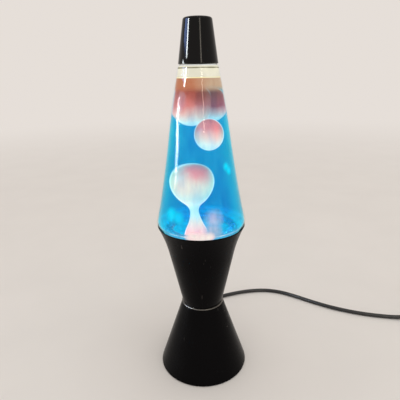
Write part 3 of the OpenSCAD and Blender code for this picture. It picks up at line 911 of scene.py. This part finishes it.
        def behind(p: Vector) -> Vector:
            """Press a point out of the mass in front, then against the glass."""
            gap = Vector([(a - c) / (r + apart) for a, c, r in zip(p, upper_c, upper_r)])
            if gap.length < 1.0:
                gap.normalize()
                p = Vector([c + (r + apart) * g for c, r, g in zip(upper_c, upper_r, gap)])
            return press(p)
        # painted light: each ramp paints the bulb's light on one mass by height
        tall = ((0.0, (1.05, 1.05, 0.98)), (0.12, (1.08, 0.96, 0.86)),
                (0.30, (0.88, 0.54, 0.46)), (0.52, (0.66, 0.19, 0.165)),
                (0.80, (0.46, 0.11, 0.07)), (1.0, (0.42, 0.11, 0.05)))
        dark = ((0.0, (0.62, 0.97, 0.97)), (0.14, (0.72, 0.87, 0.84)), (0.30, (0.62, 0.44, 0.42)),
                (0.46, (0.33, 0.11, 0.13)), (0.75, (0.28, 0.095, 0.085)), (1.0, (0.36, 0.14, 0.09)))
        bead = ((0.0, (0.90, 0.97, 0.93)), (0.24, (0.98, 0.94, 0.83)), (0.50, (0.98, 0.60, 0.50)),
                (0.74, (0.90, 0.27, 0.24)), (1.0, (0.92, 0.22, 0.19)))
        riser = ((0.0, (0.95, 0.62, 0.62)), (0.13, (0.98, 0.64, 0.60)), (0.24, (1.02, 0.92, 0.74)),
                 (0.35, (0.80, 1.05, 0.94)), (0.47, (0.86, 1.02, 0.93)), (0.57, (0.86, 0.84, 0.80)),
                 (0.72, (0.76, 0.70, 0.66)), (1.0, (0.64, 0.62, 0.58)))
        masses = (
            (self.ball("wax_upper", tuple(upper_c), tuple(upper_r), press), Body.GLOBE,
             "wax_upper_mass",
             GlowingWax("finish_wax_upper", 0.272, 0.312, tall, (2.35, 1.1, 1.0),
                        rim=(0.66, 0.48, 0.48), rim_highlight_share=0.75, rim_highlight_from=0.66,
                        blush=(-0.002, -0.020, 0.306), blush_reach=0.015,
                        blush_colour=(0.40, 0.07, 0.045))),
            (self.ball("wax_rear", (11.2, 5.5, 291.5), (17.0, 16.0, 16.5), behind), Body.GLOBE,
             "wax_rear_mass",
             GlowingWax("finish_wax_rear", 0.275, 0.310, dark, (3.5, 1.15, 1.0),
                        rim=(0.56, 0.50, 0.46), rim_highlight_share=0.45)),
            (self.ball("wax_free_bead", (9.0, -10.0, 264.8), (14.3, 14.3, 15.1), press), Body.BEAD,
             "wax_bead", GlowingWax("finish_wax_bead", 0.2497, 0.2799, bead, (2.5, 1.1, 1.0))),
            (self.rising_wax(), Body.GLOBE, "wax_rising_blob",
             GlowingWax("finish_wax_riser", 0.153, 0.236, riser, (5.2, 1.4, 1.0), (26.0, 1.5, 1.0),
                        blush=(-0.0015, -0.012, 0.2345), blush_reach=0.023)))
        for piece, body, node, finish in masses:
            settle(piece, body, finish.build(), [node])

    def build_glow(self) -> None:
        """Make the films of painted light inside the glass, from the air space down to the cup's rim:
        painted glows, painted highlights at the liquid's surface, on the wall and along the cup's
        rim, a painted lavender light patch on the front wall, and a dark band at the neck.
        """
        face, thin, top = self.sight_wall + 0.06, 0.12, self.liquid_z
        films = (
            (self.band("air_glow", face, thin, top + 0.5, 327.2),
             Film("finish_air_glow", (1.0, 0.92, 0.70), (0.82, 0.76, 0.60), 0.317, 0.3275,
                  0.45, 0.9)),
            # painted amber glow in a band below the liquid's surface
            (self.band("amber_glow", face, thin, 303.0, top - 0.5),
             Film("finish_amber_glow", (0.56, 0.20, 0.10), (0.60, 0.40, 0.26), 0.3035, 0.3115,
                  0.0, 0.95, 0.15, across=(-0.004, 0.012))),
            # painted highlight: a bright line at the liquid's surface
            (self.band("surface_glint", face, thin, top - 0.45, top + 0.45),
             Film("finish_surface_glint", (1.0, 0.93, 0.66), (1.0, 0.84, 0.45), 0.3, 0.301,
                  0.95, 0.95, 0.1)),
            (self.band("neck_line", self.sight_wall - 0.3, thin, 324.9, 326.1),
             Film("finish_neck_line", (0.06, 0.05, 0.015), (0.22, 0.20, 0.09), 0.3, 0.301,
                  1.0, 1.0, 1.0, 75.0, (1.0, 1.0, 0.1))),
            (self.heel_film(),
             Film("finish_heel_glow", (0.09, 0.48, 0.80), (0.30, 1.10, 0.98), 0.167, 0.178,
                  0.95, 0.0, 0.6, 330.0, (1.0, 1.0, 1.0), (-0.035, 0.02), "Y")),
            # painted light: a lavender patch of light on the front wall
            (self.band("wall_light_patch", face + 0.01, 0.06, 170.0, 210.0),
             Film("finish_wall_light_patch", (0.34, 0.48, 0.66), (0.66, 0.62, 0.80), 0.176, 0.192,
                  0.95, 0.45, 0.3, 150.0, spots=(((0.0105, -0.043, 0.178), 0.012),
                                                 ((0.0120, -0.040, 0.190), 0.012)))),
            (self.band("wall_gleam", face + 0.08, 0.04, 180.0, 245.0),
             Film("finish_gleam", (0.0, 0.55, 0.92), (0.0, 0.72, 1.0), 0.1, 0.101,
                  0.95, 0.95, 0.1, 90.0, spots=(((-0.0290, -0.0310, 0.1920), 0.0100),
                                                ((-0.0220, -0.0362, 0.1900), 0.0080),
                                                ((0.0250, -0.0243, 0.2365), 0.0060),
                                                ((0.0275, -0.0222, 0.2325), 0.0060)))),
            (self.band("foot_glow", face - 0.04, 0.02, 160.0, 182.0),
             Film("finish_foot_glow", (1.0, 0.76, 0.74), (1.0, 0.88, 0.80), 0.1, 0.101,
                  1.0, 1.0, 0.0, 200.0, spots=(((-0.0090, -0.0440, 0.1715), 0.0090),
                                               ((-0.0045, -0.0445, 0.1715), 0.0092),
                                               ((0.0005, -0.0445, 0.1715), 0.0086),
                                               ((0.0068, -0.0440, 0.1722), 0.0074)))),
            # painted highlight: a bright line along the cup's rim
            (self.band("rim_glint", face - 0.02, 0.02, 172.0, 173.3),
             Film("finish_rim_glint", (0.35, 0.72, 0.95), (0.80, 0.92, 1.0), 0.1, 0.101,
                  0.75, 0.75, 1.0, 160.0, (1.0, 1.0, 1.6))))
        for piece, film in films:
            settle(piece, Body.GLOBE, film.build())

    def heel_film(self) -> bpy.types.Object:
        """Make the lit film on the floor and in the heel of the globe's hollow."""
        side = self.inner(self.sight_wall + 0.1, self.floor_z + 6.4, 178.0)
        low = self.floor_z + 0.06
        outside = [(0.0, low), (26.6, low), *bend((26.6, low), (33.9, low), side[0], 8), *side[1:]]
        inside = [(max(r - 0.12, 0.0), z + (0.12 if z < 158 else 0.0)) for r, z in outside]
        return turned("heel_glow", [*outside, *reversed(inside)], 128)

    def band(self, name: str, inset: float, thick: float, low: float, high: float
             ) -> bpy.types.Object:
        """Make a thin band that follows the inside of the glass.

        Args:
            name: name of the piece.
            inset: distance of its outside from the glass's outside.
            thick: its thickness.
            low: its lower edge.
            high: its upper edge.

        Returns:
            The new piece.
        """
        outside = fine_step(self.inner(inset, low, high), 1.2)
        inside = [(r - thick, z) for r, z in reversed(outside)]
        return turned(name, [*outside, *inside], 128, closed=True)


@dataclass
class WireRing:
    """A wire wound in turns round a ring, made by Geometry Nodes."""

    ring_r: float
    ring_z: float
    coil_r: float
    wire_r: float
    turns: int
    steps: int = 16

    def tree(self, material: bpy.types.Material) -> bpy.types.GeometryNodeTree:
        """Build the node tree with named inputs for the ring's sizes.

        Args:
            material: finish that the wire takes.

        Returns:
            The node tree.
        """
        tree = bpy.data.node_groups.new("wire_ring_nodes", "GeometryNodeTree")
        for name in ("Ring Radius", "Ring Height", "Coil Radius", "Wire Radius", "Turns"):
            tree.interface.new_socket(name, in_out="INPUT", socket_type="NodeSocketFloat")
        tree.interface.new_socket("Mesh", in_out="OUTPUT", socket_type="NodeSocketGeometry")
        inputs = tree.nodes.new("NodeGroupInput").outputs

        def put(kind: str, links: dict, **settings: object) -> bpy.types.Node:
            """Add one node, with values or outputs on its inputs."""
            return add_node(tree, kind, links, settings)

        def sum_of(operation: str, *values: object) -> bpy.types.NodeSocket:
            """Add a Math node, and give its output."""
            return put("ShaderNodeMath", dict(enumerate(values)), operation=operation).outputs[0]
        count = self.turns * self.steps
        ring = put("GeometryNodeCurvePrimitiveCircle", {"Resolution": count, "Radius": 1.0})
        index = put("GeometryNodeInputIndex", {}).outputs[0]
        around = sum_of("MULTIPLY", index, math.tau / count)
        twist = sum_of("MULTIPLY", around, inputs["Turns"])
        reach = sum_of("ADD", inputs["Ring Radius"],
                       sum_of("MULTIPLY", inputs["Coil Radius"], sum_of("COSINE", twist)))
        high = sum_of("ADD", inputs["Ring Height"],
                      sum_of("MULTIPLY", inputs["Coil Radius"], sum_of("SINE", twist)))
        spot = put("ShaderNodeCombineXYZ", {
            "X": sum_of("MULTIPLY", reach, sum_of("COSINE", around)),
            "Y": sum_of("MULTIPLY", reach, sum_of("SINE", around)), "Z": high})
        moved = put("GeometryNodeSetPosition", {"Geometry": ring.outputs[0],
                                                "Position": spot.outputs[0]})
        section = put("GeometryNodeCurvePrimitiveCircle", {"Resolution": 6,
                                                           "Radius": inputs["Wire Radius"]})
        wire = put("GeometryNodeCurveToMesh", {"Curve": moved.outputs[0],
                                               "Profile Curve": section.outputs[0]})
        shaded = put("GeometryNodeSetShadeSmooth", {"Geometry": wire.outputs[0]})
        real = put("GeometryNodeRealizeInstances", {"Geometry": shaded.outputs[0]})
        dressed = put("GeometryNodeSetMaterial", {"Geometry": real.outputs[0],
                                                  "Material": material})
        tree.links.new(dressed.outputs[0], tree.nodes.new("NodeGroupOutput").inputs[0])
        return tree

    def build(self, material: bpy.types.Material) -> bpy.types.Object:
        """Make the ring as a plain mesh of one material."""
        tree = self.tree(material)
        piece = in_scene("coil_wire", bpy.data.meshes.new("coil_wire_seed"))
        modifier = piece.modifiers.new("wire", "NODES")
        modifier.node_group = tree
        sizes = {"Ring Radius": self.ring_r * MM, "Ring Height": self.ring_z * MM,
                 "Coil Radius": self.coil_r * MM, "Wire Radius": self.wire_r * MM,
                 "Turns": float(self.turns)}
        for item in tree.interface.items_tree:
            if item.item_type == "SOCKET" and item.in_out == "INPUT":
                modifier[item.identifier] = sizes[item.name]
        bake(piece)
        return piece


@dataclass
class Bulb:
    """The bulb's blown glass, with its light inside."""

    ball_r: float = 17.5
    ball_z: float = 113.5
    joint_r: float = 13.5
    neck: float = 7.1
    wall: float = 0.8
    low_z: float = 80.0
    watts: float = 0.9
    light_r: float = 0.008
    light_colour: Colour = (1.0, 0.86, 0.68)

    def skin(self, r: float, low: tuple[float, float], pull: tuple[float, float], angle: float
             ) -> Outline:
        """Give one wall's outline from its neck to its top."""
        ball = [(r * math.sin(a), self.ball_z - r * math.cos(a))
                for a in (angle + (math.pi - angle) * i / 24 for i in range(25))]
        return [low, *bend(low, pull, ball[0], 10), *ball[1:-1], (0.0, self.ball_z + r)]

    def build(self) -> None:
        """Make and dress the bulb's glass, with its light inside."""
        data = bpy.data.lights.new("bulb_light", "POINT")
        data.energy, data.color, data.shadow_soft_size = self.watts, self.light_colour, self.light_r
        in_scene("bulb_light", data).location = (0.0, 0.0, self.ball_z * MM)
        angle = math.asin(self.joint_r / self.ball_r)
        outside = self.skin(self.ball_r, (self.neck, 87.0), (8.0, 96.0), angle)
        inside = self.skin(self.ball_r - self.wall, (self.neck - self.wall, 87.4), (7.1, 96.6), angle)
        outline = [*reversed(inside), (self.neck - self.wall, self.low_z), (self.neck, self.low_z),
                   *outside]
        glass = ClearGlass("finish_bulb_glass", (1.0, 0.97, 0.90)).build()
        settle(turned("bulb_envelope", outline, 96), Body.BULB, glass, ["bulb_glass"])


@dataclass
class CordPlan:
    """Where the mains cord runs, in millimetres."""

    diameter: float = 5.0
    run: tuple[Point, ...] = (
        (0, 74.5, 10.5), (0, 86, 8.8), (3, 99, 5), (12, 112, 3), (28, 123, 2.6), (48, 131, 2.6),
        (72, 136.9, 2.6), (96, 137.9, 2.6), (118, 132, 2.6), (138, 120, 2.6), (160, 104, 2.6),
        (184, 89, 2.6), (210, 77, 2.6), (236, 69, 2.6), (260, 64, 3), (278, 62, 4.8),
        (289.5, 62, 6.9))
    link: tuple[Point, ...] = ((344.5, 62, 6.9), (356, 62, 5.2), (370, 62, 3.4), (384, 62, 3.1))
    in_switch: tuple[Point, ...] = tuple((x, 62, 6.95) for x in (300, 310, 320, 330, 338))
    tail: tuple[Point, ...] = ((388, 127, 12.4), (380, 127, 9.6), (372.8, 127, 7.7))
    coil_centre: tuple[float, float] = (396, 94.5)
    ring_radii: tuple[float, ...] = (32.5, 27.5, 22.5, 22.5, 27.5, 32.5, 27.5, 32.5)
    ring_heights: tuple[float, ...] = (3.1, 3.1, 3.1, 8.1, 8.1, 8.1, 13.1, 13.1)
    turns: float = 7.5
    steps_per_turn: int = 30
    blend_share: float = 0.4

    def coil(self) -> list[Vector]:
        """Give the points of the coil's turns, one row on another."""
        made = []
        for i in range(int(self.turns * self.steps_per_turn) + 1):
            t = i / self.steps_per_turn
            ring = min(int(t), len(self.ring_radii) - 1)
            after = min(ring + 1, len(self.ring_radii) - 1)
            part = (t - ring - (1 - self.blend_share)) / self.blend_share
            mix, lift = eased(part), eased(part * 1.4)
            r = self.ring_radii[ring] * (1 - mix) + self.ring_radii[after] * mix
            z = self.ring_heights[ring] * (1 - lift) + self.ring_heights[after] * lift
            angle = math.tau * t - math.pi / 2
            made.append(Vector((self.coil_centre[0] + r * math.cos(angle),
                                self.coil_centre[1] + r * math.sin(angle), z)))
        return made

    def centreline(self) -> list[Vector]:
        """Give the cord's whole centreline in metres, from the sleeve to the plug."""
        through = [Vector(p) for p in self.in_switch]
        coil = self.coil()
        lead_in = evenly_smoothed([*self.link, tuple(coil[0]), tuple(coil[1])], 5)[:-6]
        lead_out = evenly_smoothed([tuple(coil[-2]), tuple(coil[-1]), *self.tail], 5)[5:]
        points = [*evenly_smoothed(self.run, 4), *through, *lead_in, *coil, *lead_out[1:]]
        return [p * MM for p in points]


@dataclass
class Cord:
    """Mains cord with its sleeve and tie; its switch and plug are packed parts, dressed elsewhere."""

    plan: CordPlan = field(default_factory=CordPlan)
    sleeve_tip: float = 74.0
    sleeve_z: float = 10.5
    carried: tuple[str, ...] = ("switch_lower_half", "switch_upper_half", "switch_wheel",
                                "switch_pin", "switch_screw", "plug_body", "plug_blades")

    def sleeve(self) -> bpy.types.Object:
        """Make the tapered sleeve with its ring grooves at the foot's back."""
        outline: list[Sequence[float]] = [(0.0, 40.0), (6.2, 40.0, 0.3), (6.2, 41.6, 0.3),
                                          (5.3, 41.7, 0.1), (5.3, 50.0, 0.3)]
        for i in range(6):
            start = 52.5 + 3.4 * i
            proud = 5.3 - 1.9 * (start - 50.0) / 24.0
            deep = 4.5 - 0.27 * i
            outline += [(proud, start, 0.3), (deep, start + 0.15, 0.3), (deep, start + 1.2, 0.3),
                        (proud - 0.1, start + 1.35, 0.3)]
        outline += [(3.4, self.sleeve_tip, 0.3), (0.0, self.sleeve_tip)]
        return laid_back(turned("relief_sleeve", rounded(outline, 3), 48), self.sleeve_z)

    def wire(self) -> bpy.types.Object:
        """Make the cord as one curve."""
        points = self.plan.centreline()
        data = bpy.data.curves.new("mains_cord", "CURVE")
        data.dimensions = "3D"
        data.bevel_depth = self.plan.diameter / 2 * MM
        data.bevel_resolution = 5
        data.use_fill_caps = True
        spline = data.splines.new("POLY")
        spline.points.add(len(points) - 1)
        for spot, p in zip(spline.points, points):
            spot.co = (*p, 1.0)
        spline.use_smooth = True
        return in_scene("mains_cord", data)

    def tie(self) -> bpy.types.Object:
        """Make the flat strap that goes round the coil's turns."""
        low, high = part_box("cord_tie")
        middle = [(a + b) / 2 / MM for a, b in zip(low, high)]
        half = [(b - a) / 2 / MM for a, b in zip(low, high)]
        bm = bmesh.new()
        round_r, steps, thick = 3.0, 6, 0.55
        rows = []
        for x_sign, z_sign, first in ((1, 1, 0), (-1, 1, 90), (-1, -1, 180), (1, -1, 270)):
            for k in range(steps + 1):
                a = math.radians(first + 90 * k / steps)
                for_row = []
                for r, y in ((round_r, -1), (round_r, 1), (round_r - thick, 1),
                             (round_r - thick, -1)):
                    x = middle[0] + x_sign * (half[0] - round_r) + r * math.cos(a)
                    z = middle[2] + z_sign * (half[2] - round_r) + r * math.sin(a)
                    for_row.append(bm.verts.new(Vector((x, middle[1] + y * half[1], z)) * MM))
                rows.append(for_row)
        for one, two in zip(rows, [*rows[1:], rows[0]]):
            for k in range(4):
                bm.faces.new((one[k], one[(k + 1) % 4], two[(k + 1) % 4], two[k]))
        return from_bmesh("tie_strap", bm)

    def build(self) -> None:
        rubber = Moulding("finish_black_rubber", (0.012, 0.012, 0.013), (0.03, 0.03, 0.03), 0.55)
        sheath = Moulding("finish_cord_sheath", (0.010, 0.010, 0.011), (0.022, 0.022, 0.022), 0.36,
                          900.0, 0.00002, 0.5)
        strap = Moulding("finish_tie", (0.02, 0.02, 0.02), (0.045, 0.045, 0.045), 0.62, 2200.0,
                         0.00005)
        cord = settle(self.wire(), Body.BASE, sheath.build(),
                      ["cord_run", "cord_link", "cord_coil", "cord_tail"])
        sleeve = settle(self.sleeve(), Body.BASE, rubber.build(),
                        ["strain_relief"])
        tie = settle(self.tie(), Body.BASE, strap.build(), ["cord_tie"])
        points = self.plan.centreline()


class PackedParts:
    """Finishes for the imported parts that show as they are."""

    def build(self) -> None:
        """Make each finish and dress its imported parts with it."""
        finishes = (
            (Metal("finish_tinplate", (0.72, 0.70, 0.64), (0.52, 0.50, 0.46), 0.3),
             ("crown_cap",)),
            (Moulding("finish_liner", (0.60, 0.60, 0.55), (0.70, 0.70, 0.66), 0.6),
             ("crown_liner",)),
            (Metal("finish_plated_steel", (0.60, 0.60, 0.61), (0.42, 0.42, 0.43), 0.3),
             ("clamp_washer", "bulb_screw_base", "bulb_tip_contact", "plate_lugs", "plate_screws",
              "switch_screw")),
            (Metal("finish_brass", (0.72, 0.47, 0.17), (0.45, 0.28, 0.10), 0.28),
             ("holder_ring_nut", "holder_screw_shell", "holder_centre_contact", "terminal_screws",
              "switch_pin", "plug_blades")),
            (Moulding("finish_phenolic", (0.022, 0.014, 0.010), (0.04, 0.028, 0.02), 0.32,
                      500.0, 0.00002, 0.5), ("lamp_holder_body", "bulb_insulator")),
            (Moulding("finish_leads", (0.65, 0.65, 0.60), (0.55, 0.54, 0.50), 0.45),
             ("inner_leads",)),
            (ClearGlass("finish_stem_glass", (0.95, 0.95, 0.93)), ("bulb_stem",)),
            (HotWire(), ("bulb_filament",)),
            (Moulding("finish_black_plastic", (0.016, 0.016, 0.017), (0.032, 0.032, 0.032), 0.5),
             ("bottom_plate", "switch_lower_half", "switch_upper_half", "switch_wheel")),
            (Moulding("finish_foot_rubber", (0.013, 0.013, 0.013), (0.035, 0.034, 0.033), 0.65),
             ("rubber_feet", "plug_body")))
        for finish, names in finishes:
            material = finish.build()
            for name in names:
                dress(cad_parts[name], material)
                LOG.info("%s keeps its packed shape", name)


@dataclass
class Studio:
    """Camera, pale floor, soft sky and lights."""

    eye: Point = (-0.0008, -0.3777, 0.3207)
    pitch: float = 18.28
    roll: float = 1.12
    lens: float = 34.56
    sensor: float = 36.0
    floor_sides: int = 96
    floor_r: float = 9.0

    def camera(self) -> None:
        """Make the camera and use it."""
        data = bpy.data.cameras.new("view")
        data.lens, data.sensor_width, data.clip_start = self.lens, self.sensor, 0.01
        camera = in_scene("view", data)
        p, r = math.radians(self.pitch), math.radians(self.roll)
        ahead = Vector((0, math.cos(p), -math.sin(p)))
        rise, side = Vector((0, math.sin(p), math.cos(p))), Vector((1, 0, 0))
        right = side * math.cos(r) - rise * math.sin(r)
        up = side * math.sin(r) + rise * math.cos(r)
        turn = Matrix((right, up, -ahead)).transposed().to_4x4()
        camera.matrix_world = Matrix.Translation(self.eye) @ turn
        bpy.context.scene.camera = camera

    def floor(self) -> None:
        """Make the round pale floor."""
        sides, radius = self.floor_sides, self.floor_r
        mesh = bpy.data.meshes.new("floor")
        mesh.from_pydata([(radius * math.cos(math.tau * k / sides),
                           radius * math.sin(math.tau * k / sides), 0.0) for k in range(sides)],
                         [], [tuple(range(sides))])
        floor = in_scene("floor", mesh)
        dress(floor, PaleFloor().build())

    def light(self, name: str, place: Point, size: tuple[float, float], power: float,
              colour: Colour, aim: Point = (0, 0, 0.2), lean: float | None = None) -> None:
        """Add one soft panel of light.

        Args:
            name: its name.
            place: its middle.
            size: width and height in metres.
            power: watts.
            colour: its colour.
            aim: the point that it faces.
            lean: degrees turned about its own facing line; where given, only shine shows it.
        """
        data = bpy.data.lights.new(name, "AREA")
        data.shape, data.size, data.size_y = "RECTANGLE", size[0], size[1]
        data.energy, data.color = power, colour
        lamp = in_scene(name, data)
        away = Vector(place) - Vector(aim)
        lamp.matrix_world = (Matrix.Translation(place)
                             @ away.to_track_quat("Z", "Y").to_matrix().to_4x4()
                             @ Matrix.Rotation(math.radians(lean or 0.0), 4, "Z"))
        lamp.visible_camera, lamp.visible_diffuse = False, lean is None

    def build(self) -> None:
        """Make the whole studio."""
        scene = bpy.context.scene
        scene.view_settings.view_transform = "Standard"
        if hasattr(scene, "cycles"):
            scene.cycles.transparent_max_bounces = 24
        world = bpy.data.worlds.new("soft_sky")
        world.use_nodes = True
        shade = world.node_tree.nodes["Background"]
        shade.inputs["Color"].default_value = (*SKY, 1.0)
        shade.inputs["Strength"].default_value = SKY_STRENGTH
        scene.world = world
        self.floor()
        self.light("soft_top", (0.6, -0.8, 2.6), (2.6, 2.6), 13.0, (1.0, 0.98, 0.95))
        white, warm, blue = (0.9, 0.97, 1.0), (1.0, 0.90, 0.76), (0.30, 0.46, 1.0)
        self.light("left_strip", (-1.0, -0.02, 0.345), (0.14, 0.42), 8.5, white, (0, 0, 0.27), 60)
        self.light("left_high_strip", (-1.0, -0.33, 0.73), (0.12, 0.23), 9.0, white, (0, 0, 0.35), 0)
        self.light("left_blue_panel", (-1.05, 0.0, 0.78), (0.50, 0.32), 6.0, blue, (0, 0, 0.35), 0)
        self.light("front_strip", (0.37, -1.17, 0.76), (0.13, 0.6), 2.2, warm, (0, 0, 0.15), 0)


def main() -> None:
    """Build the studio and every sub-assembly in order."""
    logging.basicConfig(level=logging.INFO, format="%(message)s")
    studio, base = Studio(), Base()
    studio.camera()
    for maker in (Cord(), base, Globe(base), Cap(), Bulb(), PackedParts(), studio):
        maker.build()


if __name__ == "__main__":
    main()
